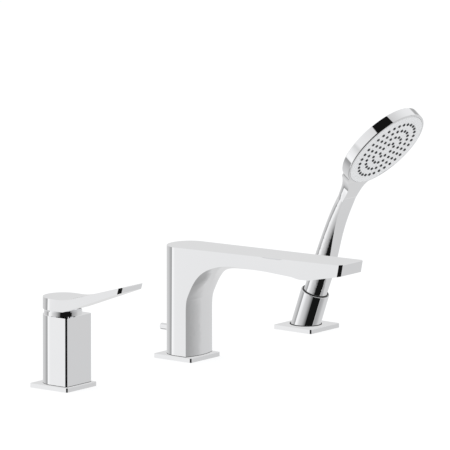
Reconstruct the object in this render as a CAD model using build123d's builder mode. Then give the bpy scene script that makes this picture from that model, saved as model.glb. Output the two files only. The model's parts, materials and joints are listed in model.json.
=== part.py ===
"""Deck-mounted bath shower mixer: a lever mixer, a spout with diverter and a hand shower in its holder.

Millimetres, +Z up. The row of units runs along +X, spout and lever point to -Y. The origin lies on the deck
surface, in the middle of the spout unit.
"""

import math
import os

from build123d import *

# Row of units
mixer_x = -207.5
spout_x = 0.0
shower_x = 204.0

# Clearances
thread_play = 0.05
seat_play = 0.2
running_gap = 0.3
turning_gap = 0.1
overrun = 2.0

# Deck and fixings, alike on the three units
plate_side = 50.0
plate_thickness = 4.5
plate_corner_chamfer = 1.3
plate_edge_radius = 0.35
shank_radius = 16.0
shank_wall = 2.1
shank_drop = 58.0
shank_engagement = 9.0
shank_chamfer = 1.2
gasket_thickness = 1.5
gasket_inset = 1.5
gasket_width = 4.5
deck_thickness = 20.0
under_seal_thickness = 3.0
clamp_washer_thickness = 2.0
washer_width = 7.0
nut_wall = 4.5
nut_height = 8.0
nut_chamfer = 0.8
shank_bore_radius = shank_radius - shank_wall
plate_bore_radius = shank_radius + running_gap
gasket_inner_radius = shank_radius + gasket_inset
gasket_outer_radius = gasket_inner_radius + gasket_width
washer_radius = shank_radius + washer_width

# Mixer body round a 35 mm cartridge
cartridge_radius = 17.6
body_wall = 3.45
body_top = 77.4
body_corner_chamfer = 1.6
cartridge_bore_depth = 31.4
port_circle_radius = 8.2
port_thread_radius = 4.5
port_thread_length = 13.0
port_bore_radius = 3.6
cartridge_bore_radius = cartridge_radius + running_gap
body_half_width = cartridge_bore_radius + body_wall
cartridge_floor = body_top - cartridge_bore_depth

# Cartridge, stacked up from the cartridge floor
base_thickness = 5.0
port_seal_width = 2.0
port_seal_wall = 1.6
port_seal_height = 1.6
fixed_disc_radius = 13.0
disc_thickness = 3.5
disc_port_radius = 3.0
moving_disc_radius = 11.0
mixing_chamber_radius = 7.0
mixing_chamber_depth = 1.8
carrier_thickness = 4.5
carrier_flat_depth = 2.5
carrier_socket_play = 0.25
carrier_socket_depth = 3.3
rotor_flange_thickness = 1.6
rotor_flange_width = 2.8
rotor_lug_half_width = 6.0
rotor_slot_half_length = 7.0
housing_wall = 2.0
housing_roof_thickness = 2.4
neck_wall = 1.6
neck_height = 12.0
rotor_rise = 1.0
pivot_drop = 5.0
pivot_pin_radius = 1.5
cartridge_nut_height = 6.6
stem_half_width = 4.0
stem_square_drop = 4.0
finger_radius = 1.7
finger_ball_radius = 2.5
rotor_radius = moving_disc_radius + rotor_rise
neck_radius = rotor_radius + running_gap + neck_wall
housing_inner_radius = cartridge_radius - housing_wall
rotor_flange_radius = rotor_radius + rotor_flange_width
rotor_slot_half_width = stem_half_width + running_gap
carrier_half_flat = moving_disc_radius - carrier_flat_depth
carrier_socket_radius = finger_ball_radius + carrier_socket_play
port_seal_inner_radius = port_bore_radius + port_seal_width / 5
port_seal_outer_radius = port_seal_inner_radius + port_seal_wall

# Cover ring under the lever, heights above the body
ring_inset = 1.45
ring_straight_height = 4.4
ring_shoulder_inset = 2.1
ring_shoulder_height = 8.1
ring_mouth_play = 0.5
ring_mouth_height = 8.8
ring_mouth_wall = 1.9
ring_inner_height = 5.6
ring_skirt_wall = 2.2
ring_skirt_drop = 3.0
ring_radius = body_half_width - ring_inset
ring_shoulder_radius = ring_radius - ring_shoulder_inset
ring_skirt_radius = cartridge_bore_radius - running_gap
ring_mouth_radius = rotor_radius + ring_mouth_play
ring_straight_top = body_top + ring_straight_height
ring_shoulder_top = body_top + ring_shoulder_height
ring_mouth_top = body_top + ring_mouth_height
ring_inner_top = body_top + ring_inner_height

# Lever
lever_rise = 6.1
lever_height = 12.5
lever_reach = 92.8
lever_tip_rise = 22.3
lever_tip_lean = 1.8
lever_tip_height = 6.2
lever_heel = 15.8
lever_heel_radius = 8.0
lever_brow = 17.8
lever_brow_radius = 68.0
lever_tip_half_width = 19.4
lever_tip_chamfer = 3.0
lever_edge_radius = 0.6
lever_roof_thickness = 2.6
lever_wall = 1.55
lever_hub_wall = 3.5
lever_hub_drop = 5.9
stem_cover = 2.4
set_screw_radius = 2.0
set_screw_drop = 6.0
screw_plug_play = 0.55
lever_underside = body_top + lever_rise
lever_top = lever_underside + lever_height
lever_tip_top = lever_top + lever_tip_rise
lever_hollow_radius = body_half_width - lever_wall
lever_hub_radius = stem_half_width + lever_hub_wall
stem_top = lever_top - lever_roof_thickness - stem_cover
set_screw_height = lever_top - set_screw_drop
screw_plug_radius = set_screw_radius + screw_plug_play

# Spout
spout_half_width = 22.5
spout_round_y = -1.5
spout_tip_half_width = 19.85
spout_reach = 221.1
spout_top = 120.6
spout_tip_rise = 5.8
spout_tip_undercut = 2.5
spout_tip_height = 12.5
spout_tip_chamfer = 3.0
spout_edge_chamfer = 0.4
column_front = 16.0
column_bulge = 4.5
arch_spring = 50.0
arch_height = 58.7
arch_reach = 64.0
arch_reach_shares = (0.056, 0.197, 0.448, 0.70)
arch_rise_shares = (0.375, 0.647, 0.869, 0.963)
arch_fade_share = 0.5
arm_level_share = 0.513
outlet_drop = 3.9
outlet_heel_drop = 2.1
outlet_front_drop = 3.5
outlet_heel_length = 14.5
outlet_back_length = 6.5
outlet_front_length = 6.5
outlet_heel_radius = 40.0
outlet_back_radius = 30.0
outlet_front_radius = 40.0
arm_level_radius_share = 8.1

# Waterway and outlet of the spout
outlet_setback = 50.6
aerator_radius = 12.0
aerator_wall = 2.0
aerator_proud = 0.7
aerator_length = 6.4
aerator_insert_recess = 0.7
aerator_seal_thickness = 1.0
aerator_seal_width = 2.6
aerator_hole_radius = 0.75
aerator_hole_spacing = 2.3
aerator_hole_rings = 3
outlet_throat_radius = 9.0
outlet_throat_length = 0.9
channel_half_width = 9.0
channel_roof_wall = 3.0
channel_overhang = 7.5
riser_radius = 7.0
riser_y = 3.0
riser_foot = 42.0
lower_riser_radius = 3.4
lower_riser_y = 10.5
arch_crown = arch_spring + arch_height
outlet_y = spout_reach - outlet_setback
outlet_underside = arch_crown - outlet_drop
outlet_bore_radius = aerator_radius + thread_play
aerator_bottom = outlet_underside + aerator_proud
outlet_seat_z = aerator_bottom + aerator_length + aerator_seal_thickness
channel_floor = outlet_seat_z + outlet_throat_length
spout_tip_top = spout_top + spout_tip_rise

# Diverter in the column of the spout
diverter_z = 29.0
diverter_bore_radius = 9.0
diverter_chamber_wall = 1.5
diverter_chamber_half_length = 6.0
diverter_front_radius = 5.5
diverter_front_depth = 12.0
inlet_port_x = -6.0
inlet_port_y = 1.5
shower_port_x = 5.0
shower_port_y = -7.5
shower_port_bore_radius = 2.4
piston_play = 0.7
piston_seal_thickness = 0.8
piston_stack = 4.0
spindle_radius = 2.5
sleeve_length = 7.5
sleeve_lip_length = 2.0
sleeve_wall = 2.0
sleeve_seat_play = 0.6
gland_recess = 0.43
gland_groove_play = 1.6
gland_groove_inset = 1.5
gland_groove_length = 1.8
knob_wall = 1.0
knob_gap = 0.4
knob_length = 13.2
knob_edge_radius = 0.6
knob_socket_length = 9.0
spring_play = 0.5
spring_wire = 1.6
diverter_chamber_radius = diverter_bore_radius - diverter_chamber_wall
piston_radius = diverter_chamber_radius - piston_play
spring_inner_radius = spindle_radius + spring_play
spring_outer_radius = spring_inner_radius + spring_wire
sleeve_seat_radius = spring_outer_radius + sleeve_seat_play
sleeve_inner_radius = diverter_bore_radius - sleeve_wall
sleeve_lip_end = diverter_chamber_half_length + sleeve_lip_length
sleeve_end = diverter_chamber_half_length + sleeve_length
spout_back = spout_round_y + spout_half_width
gland_end = spout_back - gland_recess
gland_bore_radius = spindle_radius + turning_gap
gland_groove_radius = gland_bore_radius + gland_groove_play
gland_groove_start = sleeve_end + gland_groove_inset
knob_radius = spindle_radius + knob_wall
knob_start = gland_end + knob_gap
knob_end = knob_start + knob_length
knob_socket_end = knob_start + knob_socket_length

# Hand shower holder, distances along its leaning axis
handle_radius = 12.4
handle_play = 0.35
liner_wall = 1.25
liner_lip_thickness = 2.0
liner_lip_play = 0.55
liner_rise = 1.2
holder_tilt = 19.5
holder_pivot_z = 8.0
holder_wall = 1.0
holder_seat_width = 1.3
holder_seat = 6.0
holder_throat_drop = 3.0
holder_mouth = 34.6
holder_rim_radius = 0.45
holder_root = 12.0
spigot_wall = 1.05
spigot_drop = 6.0
spigot_bore_top = 9.0
liner_inner_radius = handle_radius + handle_play
liner_outer_radius = liner_inner_radius + liner_wall
holder_bore_radius = liner_outer_radius + running_gap
holder_radius = holder_bore_radius + holder_wall
holder_seat_radius = holder_bore_radius - holder_seat_width
spigot_radius = shank_bore_radius - thread_play
spigot_bore_radius = spigot_radius - spigot_wall

# Hand shower handle and neck. Stations up the handle's axis are (y, z, radius, half chord of the front
# flat) as shares of the face's place, the handle's radius and the station's own radius.
handle_end_chord = 2.5
handle_station_shares = (
    (0.2558, 0.4111, 0.9435, 0.5983),
    (0.3619, 0.5634, 0.8468, 0.8381),
    (0.4595, 0.6640, 0.8710, 0.9630),
    (0.5228, 0.7259, 0.8226, 0.9706),
)
handle_leans = (19.5, 25.0, 28.0, 30.0)
# Stations of the neck's front face are (y, z, width, depth, corner radius) as shares of the face's place,
# the head's radius, its thickness and the station's own depth.
neck_station_shares = (
    (0.5172, 0.6974, 0.4000, 1.06, 0.800),
    (0.5581, 0.7348, 0.4317, 1.12, 0.680),
    (0.5963, 0.7662, 0.4634, 1.16, 0.520),
    (0.6270, 0.7927, 0.5743, 1.18, 0.400),
    (0.6567, 0.8124, 0.7525, 1.16, 0.320),
    (0.7405, 0.8674, 1.1089, 0.86, 0.320),
)
neck_leans = (29.0, 31.0, 33.0, 37.0, 38.5, 38.5)
inlet_thread_radius = 10.45
inlet_thread_length = 10.0
inlet_socket_depth = 12.0
inlet_wall = 3.95
inlet_filter_thickness = 3.0
inlet_filter_recess = 1.0
inlet_filter_hole_radius = 0.8
inlet_filter_hole_circle_radius = 3.6
inlet_filter_holes = 8
lower_waterway_radius = 7.0
lower_waterway_length = 78.0
middle_waterway_radius = 4.5
middle_waterway_shares = ((0.2372, 0.3978), (0.4884, 0.7490))
upper_waterway_radius = 2.8
upper_waterway_shares = ((0.4744, 0.7441), (0.6930, 0.8595))
inlet_bore_radius = inlet_thread_radius - inlet_wall
liner_lip_radius = inlet_thread_radius + liner_lip_play

# Spray head
face_y = -107.5
face_z = 203.6
face_tilt = 38.5
face_rise = 1.2
face_dome = 0.6
head_radius = 50.5
head_thickness = 11.2
head_edge_radius = 0.5
head_front_radius = 1.2
head_back_wall = 1.8
head_wall = 4.2
spray_plate_inset = 2.4
spray_plate_thickness = 2.0
nozzle_rings = 4
nozzles_per_ring = 8
nozzle_ring_spacing = 9.28
nozzle_radius = 1.6
nozzle_height = 0.9
nozzle_jet_radius = 0.45
nozzle_jet_depth = 1.5
mat_edge_width = 2.8
mat_thickness = 1.0
water_guide_thickness = 1.5
water_guide_hole_radius = 2.0
water_guide_hole_circle_radius = 28.0
water_guide_holes = 12
head_cavity_radius = head_radius - head_wall
spray_plate_radius = head_radius - spray_plate_inset - running_gap
mat_radius = head_cavity_radius - mat_edge_width
water_guide_radius = head_cavity_radius - running_gap

os.makedirs("parts", exist_ok=True)


def upright(unit_x, height=0.0):
    """Horizontal plane of a unit at a height above the deck."""
    return Plane((unit_x, 0, height))


def side_view(unit_x):
    """Plane whose x runs along +Y and whose y runs up, through the middle of a unit."""
    return Plane(origin=(unit_x, 0, 0), x_dir=(0, 1, 0), z_dir=(1, 0, 0))


def half_section(unit_x):
    """Plane whose x runs along +X and whose y runs up, for turned pieces of a unit."""
    return Plane(origin=(unit_x, 0, 0), x_dir=(1, 0, 0), z_dir=(0, -1, 0))


def leaning(y, z, lean):
    """Plane across a path that leans to -Y by an angle from the vertical, its y pointing to the back."""
    along = (0, -math.sin(math.radians(lean)), math.cos(math.radians(lean)))
    return Plane(origin=(shower_x, y, z), x_dir=(1, 0, 0), z_dir=along)


def finish(piece, name):
    """Labels a finished piece and writes it."""
    piece.part.label = name
    export_step(piece.part, f"parts/{name}.step")


def ring(plane, outer, inner, height):
    """Plain ring that rises from a plane."""
    with BuildPart() as piece:
        with BuildSketch(plane):
            Circle(outer)
            Circle(inner, mode=Mode.SUBTRACT)
        extrude(amount=height)
    return piece


# Deck fixings of one unit
def make_plate(unit, unit_x):
    with BuildPart() as plate:
        with BuildSketch(upright(unit_x)):
            Rectangle(plate_side, plate_side)
        extrude(amount=plate_thickness)
        chamfer(plate.edges().filter_by(Axis.Z), plate_corner_chamfer)
        fillet(plate.faces().sort_by(Axis.Z)[-1].edges(), plate_edge_radius)
        with BuildSketch(upright(unit_x)):
            Circle(plate_bore_radius)
        extrude(amount=plate_thickness, mode=Mode.SUBTRACT)
        with BuildSketch(upright(unit_x)):
            Circle(gasket_outer_radius)
            Circle(gasket_inner_radius, mode=Mode.SUBTRACT)
        extrude(amount=gasket_thickness, mode=Mode.SUBTRACT)
    finish(plate, f"{unit}_plate")


def make_shank(unit, unit_x, top):
    with BuildPart() as shank:
        with BuildSketch(upright(unit_x, -shank_drop)):
            Circle(shank_radius)
        extrude(amount=shank_drop + top)
        chamfer(shank.faces().sort_by(Axis.Z)[0].edges(), shank_chamfer)
        with BuildSketch(upright(unit_x, -shank_drop)):
            Circle(shank_bore_radius)
        extrude(amount=shank_drop + top, mode=Mode.SUBTRACT)
    finish(shank, f"{unit}_shank")


def make_fixings(unit, unit_x, shank_top):
    make_plate(unit, unit_x)
    make_shank(unit, unit_x, shank_top)
    gasket = ring(
        upright(unit_x), gasket_outer_radius - seat_play, gasket_inner_radius + seat_play, gasket_thickness
    )
    finish(gasket, f"{unit}_gasket")
    seal_bottom = -deck_thickness - under_seal_thickness
    washer_bottom = seal_bottom - clamp_washer_thickness
    hole_radius = shank_radius + seat_play
    under_seal = ring(upright(unit_x, seal_bottom), washer_radius, hole_radius, under_seal_thickness)
    finish(under_seal, f"{unit}_under_seal")
    finish(
        ring(upright(unit_x, washer_bottom), washer_radius, hole_radius, clamp_washer_thickness),
        f"{unit}_clamp_washer",
    )
    with BuildPart() as nut:
        with BuildSketch(upright(unit_x, washer_bottom - nut_height)):
            RegularPolygon(radius=shank_radius + nut_wall, side_count=6, major_radius=False)
        extrude(amount=nut_height)
        chamfer(nut.faces().sort_by(Axis.Z)[0].edges(), nut_chamfer)
        with BuildSketch(upright(unit_x, washer_bottom - nut_height)):
            Circle(shank_radius + thread_play)
        extrude(amount=nut_height, mode=Mode.SUBTRACT)
    finish(nut, f"{unit}_lock_nut")


socket_top = plate_thickness + shank_engagement
make_fixings("mixer", mixer_x, socket_top)
make_fixings("spout", spout_x, socket_top)
make_fixings("shower", shower_x, plate_thickness)

# Mixer body: square front, half-round back
port_angles = (210, 330, 90)
port_places = [
    (
        port_circle_radius * math.cos(math.radians(angle)),
        port_circle_radius * math.sin(math.radians(angle)),
    )
    for angle in port_angles
]
with BuildPart() as mixer_body:
    with BuildSketch(upright(mixer_x, plate_thickness)):
        Circle(body_half_width)
        with Locations((0, -body_half_width / 2)):
            Rectangle(2 * body_half_width, body_half_width)
    extrude(amount=body_top - plate_thickness)
    chamfer(mixer_body.edges().filter_by(Axis.Z).sort_by(Axis.Y)[:2], body_corner_chamfer)
    with BuildSketch(upright(mixer_x, cartridge_floor)):
        Circle(cartridge_bore_radius)
    extrude(amount=body_top - cartridge_floor, mode=Mode.SUBTRACT)
    with BuildSketch(upright(mixer_x, plate_thickness)):
        Circle(shank_radius + thread_play)
    extrude(amount=shank_engagement, mode=Mode.SUBTRACT)
    with BuildSketch(upright(mixer_x, socket_top)):
        with Locations(*port_places):
            Circle(port_thread_radius)
    extrude(amount=port_thread_length, mode=Mode.SUBTRACT)
    with BuildSketch(upright(mixer_x, socket_top)):
        with Locations(*port_places):
            Circle(port_bore_radius)
    extrude(amount=cartridge_floor - socket_top, mode=Mode.SUBTRACT)
finish(mixer_body, "mixer_body")

# Cartridge levels, from the floor of its bore up
base_top = cartridge_floor + base_thickness
fixed_disc_top = base_top + disc_thickness
moving_disc_top = fixed_disc_top + disc_thickness
carrier_top = moving_disc_top + carrier_thickness
flange_bottom = carrier_top + running_gap
flange_top = flange_bottom + rotor_flange_thickness
roof_bottom = flange_top + seat_play
roof_top = roof_bottom + housing_roof_thickness
neck_top = roof_top + neck_height
rotor_top = neck_top + rotor_rise
lift_pivot = neck_top - pivot_drop

# Cartridge base with three port seals under it
with BuildPart() as port_seals:
    with BuildSketch(upright(mixer_x, cartridge_floor)):
        with Locations(*port_places):
            Circle(port_seal_outer_radius)
        with Locations(*port_places):
            Circle(port_seal_inner_radius, mode=Mode.SUBTRACT)
    extrude(amount=port_seal_height)
finish(port_seals, "cartridge_port_seals")

with BuildPart() as cartridge_base:
    with BuildSketch(upright(mixer_x, cartridge_floor)):
        Circle(cartridge_radius)
        with Locations(*port_places):
            Circle(port_bore_radius, mode=Mode.SUBTRACT)
    extrude(amount=base_thickness)
    with BuildSketch(upright(mixer_x, cartridge_floor)):
        with Locations(*port_places):
            Circle(port_seal_outer_radius + seat_play)
    extrude(amount=port_seal_height, mode=Mode.SUBTRACT)
finish(cartridge_base, "cartridge_base")

# Ceramic discs: the lower one stays, the upper one slides and turns on it
with BuildPart() as fixed_disc:
    with BuildSketch(upright(mixer_x, base_top)):
        Circle(fixed_disc_radius)
        with Locations(*port_places):
            Circle(disc_port_radius, mode=Mode.SUBTRACT)
    extrude(amount=disc_thickness)
finish(fixed_disc, "fixed_ceramic_disc")

with BuildPart() as moving_disc:
    with BuildSketch(upright(mixer_x, fixed_disc_top)):
        Circle(moving_disc_radius)
    extrude(amount=disc_thickness)
    with BuildSketch(upright(mixer_x, fixed_disc_top)):
        Circle(mixing_chamber_radius)
    extrude(amount=mixing_chamber_depth, mode=Mode.SUBTRACT)
finish(moving_disc, "moving_ceramic_disc")

with BuildPart() as disc_carrier:
    with BuildSketch(upright(mixer_x, moving_disc_top)):
        Circle(moving_disc_radius)
        Rectangle(2 * carrier_half_flat, 2 * moving_disc_radius, mode=Mode.INTERSECT)
    extrude(amount=carrier_thickness)
    with BuildSketch(upright(mixer_x, carrier_top - carrier_socket_depth)):
        Circle(carrier_socket_radius)
    extrude(amount=carrier_socket_depth, mode=Mode.SUBTRACT)
finish(disc_carrier, "disc_carrier")

# Cartridge housing, turned
with BuildPart() as cartridge_housing:
    with BuildSketch(half_section(mixer_x)):
        with BuildLine():
            Polyline(
                (housing_inner_radius, base_top),
                (cartridge_radius, base_top),
                (cartridge_radius, roof_top),
                (neck_radius, roof_top),
                (neck_radius, neck_top),
                (rotor_radius + running_gap, neck_top),
                (rotor_radius + running_gap, roof_bottom),
                (housing_inner_radius, roof_bottom),
                close=True,
            )
        make_face()
    revolve(axis=Axis((mixer_x, 0, 0), (0, 0, 1)))
finish(cartridge_housing, "cartridge_housing")

# Rotor: carries the lever's pivot pin and turns the disc carrier by two lugs
lug_bottom = moving_disc_top + running_gap
lug_inner = carrier_half_flat + running_gap
with BuildPart() as rotor:
    with BuildSketch(upright(mixer_x, flange_bottom)):
        Circle(rotor_flange_radius)
    extrude(amount=rotor_flange_thickness)
    with BuildSketch(upright(mixer_x, flange_bottom)):
        Circle(rotor_radius)
    extrude(amount=rotor_top - flange_bottom)
    with BuildSketch(upright(mixer_x, lug_bottom)):
        Circle(rotor_radius)
        Rectangle(2 * rotor_radius, 2 * rotor_lug_half_width, mode=Mode.INTERSECT)
        Rectangle(2 * lug_inner, 2 * rotor_radius, mode=Mode.SUBTRACT)
    extrude(amount=flange_bottom - lug_bottom)
    with BuildSketch(upright(mixer_x, flange_bottom)):
        Rectangle(2 * rotor_slot_half_width, 2 * rotor_slot_half_length)
    extrude(amount=rotor_top - flange_bottom, mode=Mode.SUBTRACT)
    with BuildSketch(side_view(mixer_x)):
        with Locations((0, lift_pivot)):
            Circle(pivot_pin_radius + thread_play)
    extrude(amount=rotor_radius, both=True, mode=Mode.SUBTRACT)
finish(rotor, "cartridge_rotor")

pin_half_length = rotor_radius - seat_play
with BuildPart() as pivot_pin:
    with BuildSketch(side_view(mixer_x)):
        with Locations((0, lift_pivot)):
            Circle(pivot_pin_radius)
    extrude(amount=pin_half_length, both=True)
finish(pivot_pin, "lever_pivot_pin")

# Stem: square bar on the pivot pin, with a ball finger that drives the disc carrier
finger_ball_z = carrier_top - carrier_socket_depth + running_gap + finger_ball_radius
stem_foot = lift_pivot - stem_square_drop
with BuildPart() as stem:
    with BuildSketch(upright(mixer_x, stem_foot)):
        Rectangle(2 * stem_half_width, 2 * stem_half_width)
    extrude(amount=stem_top - stem_foot)
    with BuildSketch(upright(mixer_x, finger_ball_z)):
        Circle(finger_radius)
    extrude(amount=stem_foot - finger_ball_z)
    with Locations((mixer_x, 0, finger_ball_z)):
        Sphere(finger_ball_radius)
    with BuildSketch(side_view(mixer_x)):
        with Locations((0, lift_pivot)):
            Circle(pivot_pin_radius + thread_play)
    extrude(amount=2 * stem_half_width, both=True, mode=Mode.SUBTRACT)
finish(stem, "lever_stem")

cartridge_nut = ring(
    upright(mixer_x, roof_top),
    cartridge_bore_radius - thread_play,
    neck_radius + seat_play,
    cartridge_nut_height,
)
finish(cartridge_nut, "cartridge_nut")

# Cover ring: threaded skirt inside the body, dome above it
ring_skirt_inner = ring_skirt_radius - ring_skirt_wall
with BuildPart() as cover_ring:
    with BuildSketch(half_section(mixer_x)):
        with BuildLine():
            Polyline(
                (ring_skirt_inner, body_top - ring_skirt_drop),
                (ring_skirt_radius, body_top - ring_skirt_drop),
                (ring_skirt_radius, body_top),
                (ring_radius, body_top),
                (ring_radius, ring_straight_top),
                (ring_shoulder_radius, ring_shoulder_top),
                (ring_mouth_radius, ring_mouth_top),
                (ring_mouth_radius, ring_mouth_top - ring_mouth_wall),
                (ring_skirt_inner, ring_inner_top),
                close=True,
            )
        make_face()
    revolve(axis=Axis((mixer_x, 0, 0), (0, 0, 1)))
finish(cover_ring, "cartridge_cover_ring")

# Lever: half-round cap over the cover ring, drawn out into a rising blade
lever_tip_bottom_y = lever_tip_lean - lever_reach
lever_tip_bottom_z = lever_tip_top - lever_tip_height
hub_bottom = lever_top - lever_roof_thickness - lever_hub_drop
with BuildPart() as lever:
    with BuildSketch(upright(mixer_x, lever_underside)):
        with BuildLine():
            Polyline(
                (body_half_width, 0),
                (lever_tip_half_width, -lever_reach - overrun),
                (-lever_tip_half_width, -lever_reach - overrun),
                (-body_half_width, 0),
            )
            ThreePointArc((-body_half_width, 0), (0, body_half_width), (body_half_width, 0))
        make_face()
    extrude(amount=lever_tip_top - lever_underside)
    with BuildSketch(side_view(mixer_x)):
        with BuildLine():
            FilletPolyline(
                (lever_tip_bottom_y, lever_tip_bottom_z),
                (-lever_heel, lever_underside),
                (body_half_width + overrun, lever_underside),
                radius=lever_heel_radius,
            )
            Line((body_half_width + overrun, lever_underside), (body_half_width + overrun, lever_top))
            FilletPolyline(
                (body_half_width + overrun, lever_top),
                (-lever_brow, lever_top),
                (-lever_reach, lever_tip_top),
                radius=lever_brow_radius,
            )
            Line((-lever_reach, lever_tip_top), (lever_tip_bottom_y, lever_tip_bottom_z))
        make_face()
    extrude(amount=body_half_width + overrun, both=True, mode=Mode.INTERSECT)
    chamfer(lever.edges().sort_by(Axis.Y)[1:3], lever_tip_chamfer)
    fillet(lever.faces().sort_by(Axis.Z)[-1].edges(), lever_edge_radius)
    with BuildSketch(upright(mixer_x, lever_underside - overrun)):
        Circle(lever_hollow_radius)
    extrude(amount=lever_top - lever_roof_thickness - lever_underside + overrun, mode=Mode.SUBTRACT)
    with BuildSketch(upright(mixer_x, hub_bottom)):
        Circle(lever_hub_radius)
    extrude(amount=lever_hub_drop)
    with BuildSketch(upright(mixer_x, hub_bottom)):
        Rectangle(2 * (stem_half_width + thread_play), 2 * (stem_half_width + thread_play))
    extrude(amount=stem_top + seat_play - hub_bottom, mode=Mode.SUBTRACT)
    with BuildSketch(half_section(mixer_x)):
        with Locations((0, set_screw_height)):
            Circle(set_screw_radius + thread_play)
    extrude(amount=-lever_hub_radius, mode=Mode.SUBTRACT)
    with BuildSketch(half_section(mixer_x).offset(-lever_hub_radius - overrun)):
        with Locations((0, set_screw_height)):
            Circle(screw_plug_radius + thread_play)
    extrude(amount=-body_half_width, mode=Mode.SUBTRACT)
finish(lever, "lever_handle")

with BuildPart() as set_screw:
    with BuildSketch(half_section(mixer_x).offset(-stem_half_width)):
        with Locations((0, set_screw_height)):
            Circle(set_screw_radius)
    extrude(amount=stem_half_width - lever_hub_radius)
finish(set_screw, "lever_set_screw")

with BuildPart() as screw_plug:
    with BuildSketch(half_section(mixer_x).offset(-lever_hollow_radius)):
        with Locations((0, set_screw_height)):
            Circle(screw_plug_radius)
    extrude(amount=lever_hollow_radius - body_half_width)
finish(screw_plug, "lever_screw_plug")

# Spout body: half-round column drawn over into a long tapering arm
spout_slope = spout_tip_rise / spout_reach
spout_back_top = spout_top - spout_slope * (spout_back + overrun)
arch_end_y = -column_front - arch_reach
arm_tip_y = spout_tip_undercut - spout_reach
spout_tip_slant = spout_tip_undercut / spout_tip_height
arm_tip_bottom = spout_tip_top - spout_tip_height
outlet_heel_y = outlet_heel_length - outlet_y
arm_level_y = arch_end_y + arm_level_share * (outlet_heel_y - arch_end_y)


def under_arch(across, bulge):
    """Section of the space under the arm at a distance from its middle plane, the arch bulging into it."""
    front = -column_front - bulge
    crown = arch_crown - bulge
    level_end = arch_crown - arch_fade_share * bulge
    reach = front - arch_end_y
    rise = crown - arch_spring
    arch_points = [
        (front - reach_share * reach, arch_spring + rise_share * rise)
        for reach_share, rise_share in zip(arch_reach_shares, arch_rise_shares)
    ]
    with BuildSketch(side_view(spout_x + across)) as opening:
        with BuildLine():
            FilletPolyline(
                (arm_tip_y - overrun, arm_tip_bottom),
                (arm_tip_y, arm_tip_bottom),
                (-outlet_y - outlet_front_length, arch_crown - outlet_front_drop),
                (outlet_back_length - outlet_y, outlet_underside),
                (outlet_heel_y, arch_crown - outlet_heel_drop),
                (arm_level_y, level_end),
                (arch_end_y, crown),
                radius=(
                    spout_edge_chamfer,
                    outlet_front_radius,
                    outlet_back_radius,
                    outlet_heel_radius,
                    arm_level_radius_share * (arm_level_y - outlet_heel_y),
                ),
            )
            Spline(
                (arch_end_y, crown),
                *reversed(arch_points),
                (front, arch_spring),
                tangents=((arch_end_y - arm_level_y, crown - level_end), (0, -1)),
            )
            Polyline(
                (front, arch_spring),
                (front, plate_thickness - overrun),
                (arm_tip_y - overrun, plate_thickness - overrun),
                (arm_tip_y - overrun, arm_tip_bottom),
            )
        make_face()
    return opening.sketch


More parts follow.
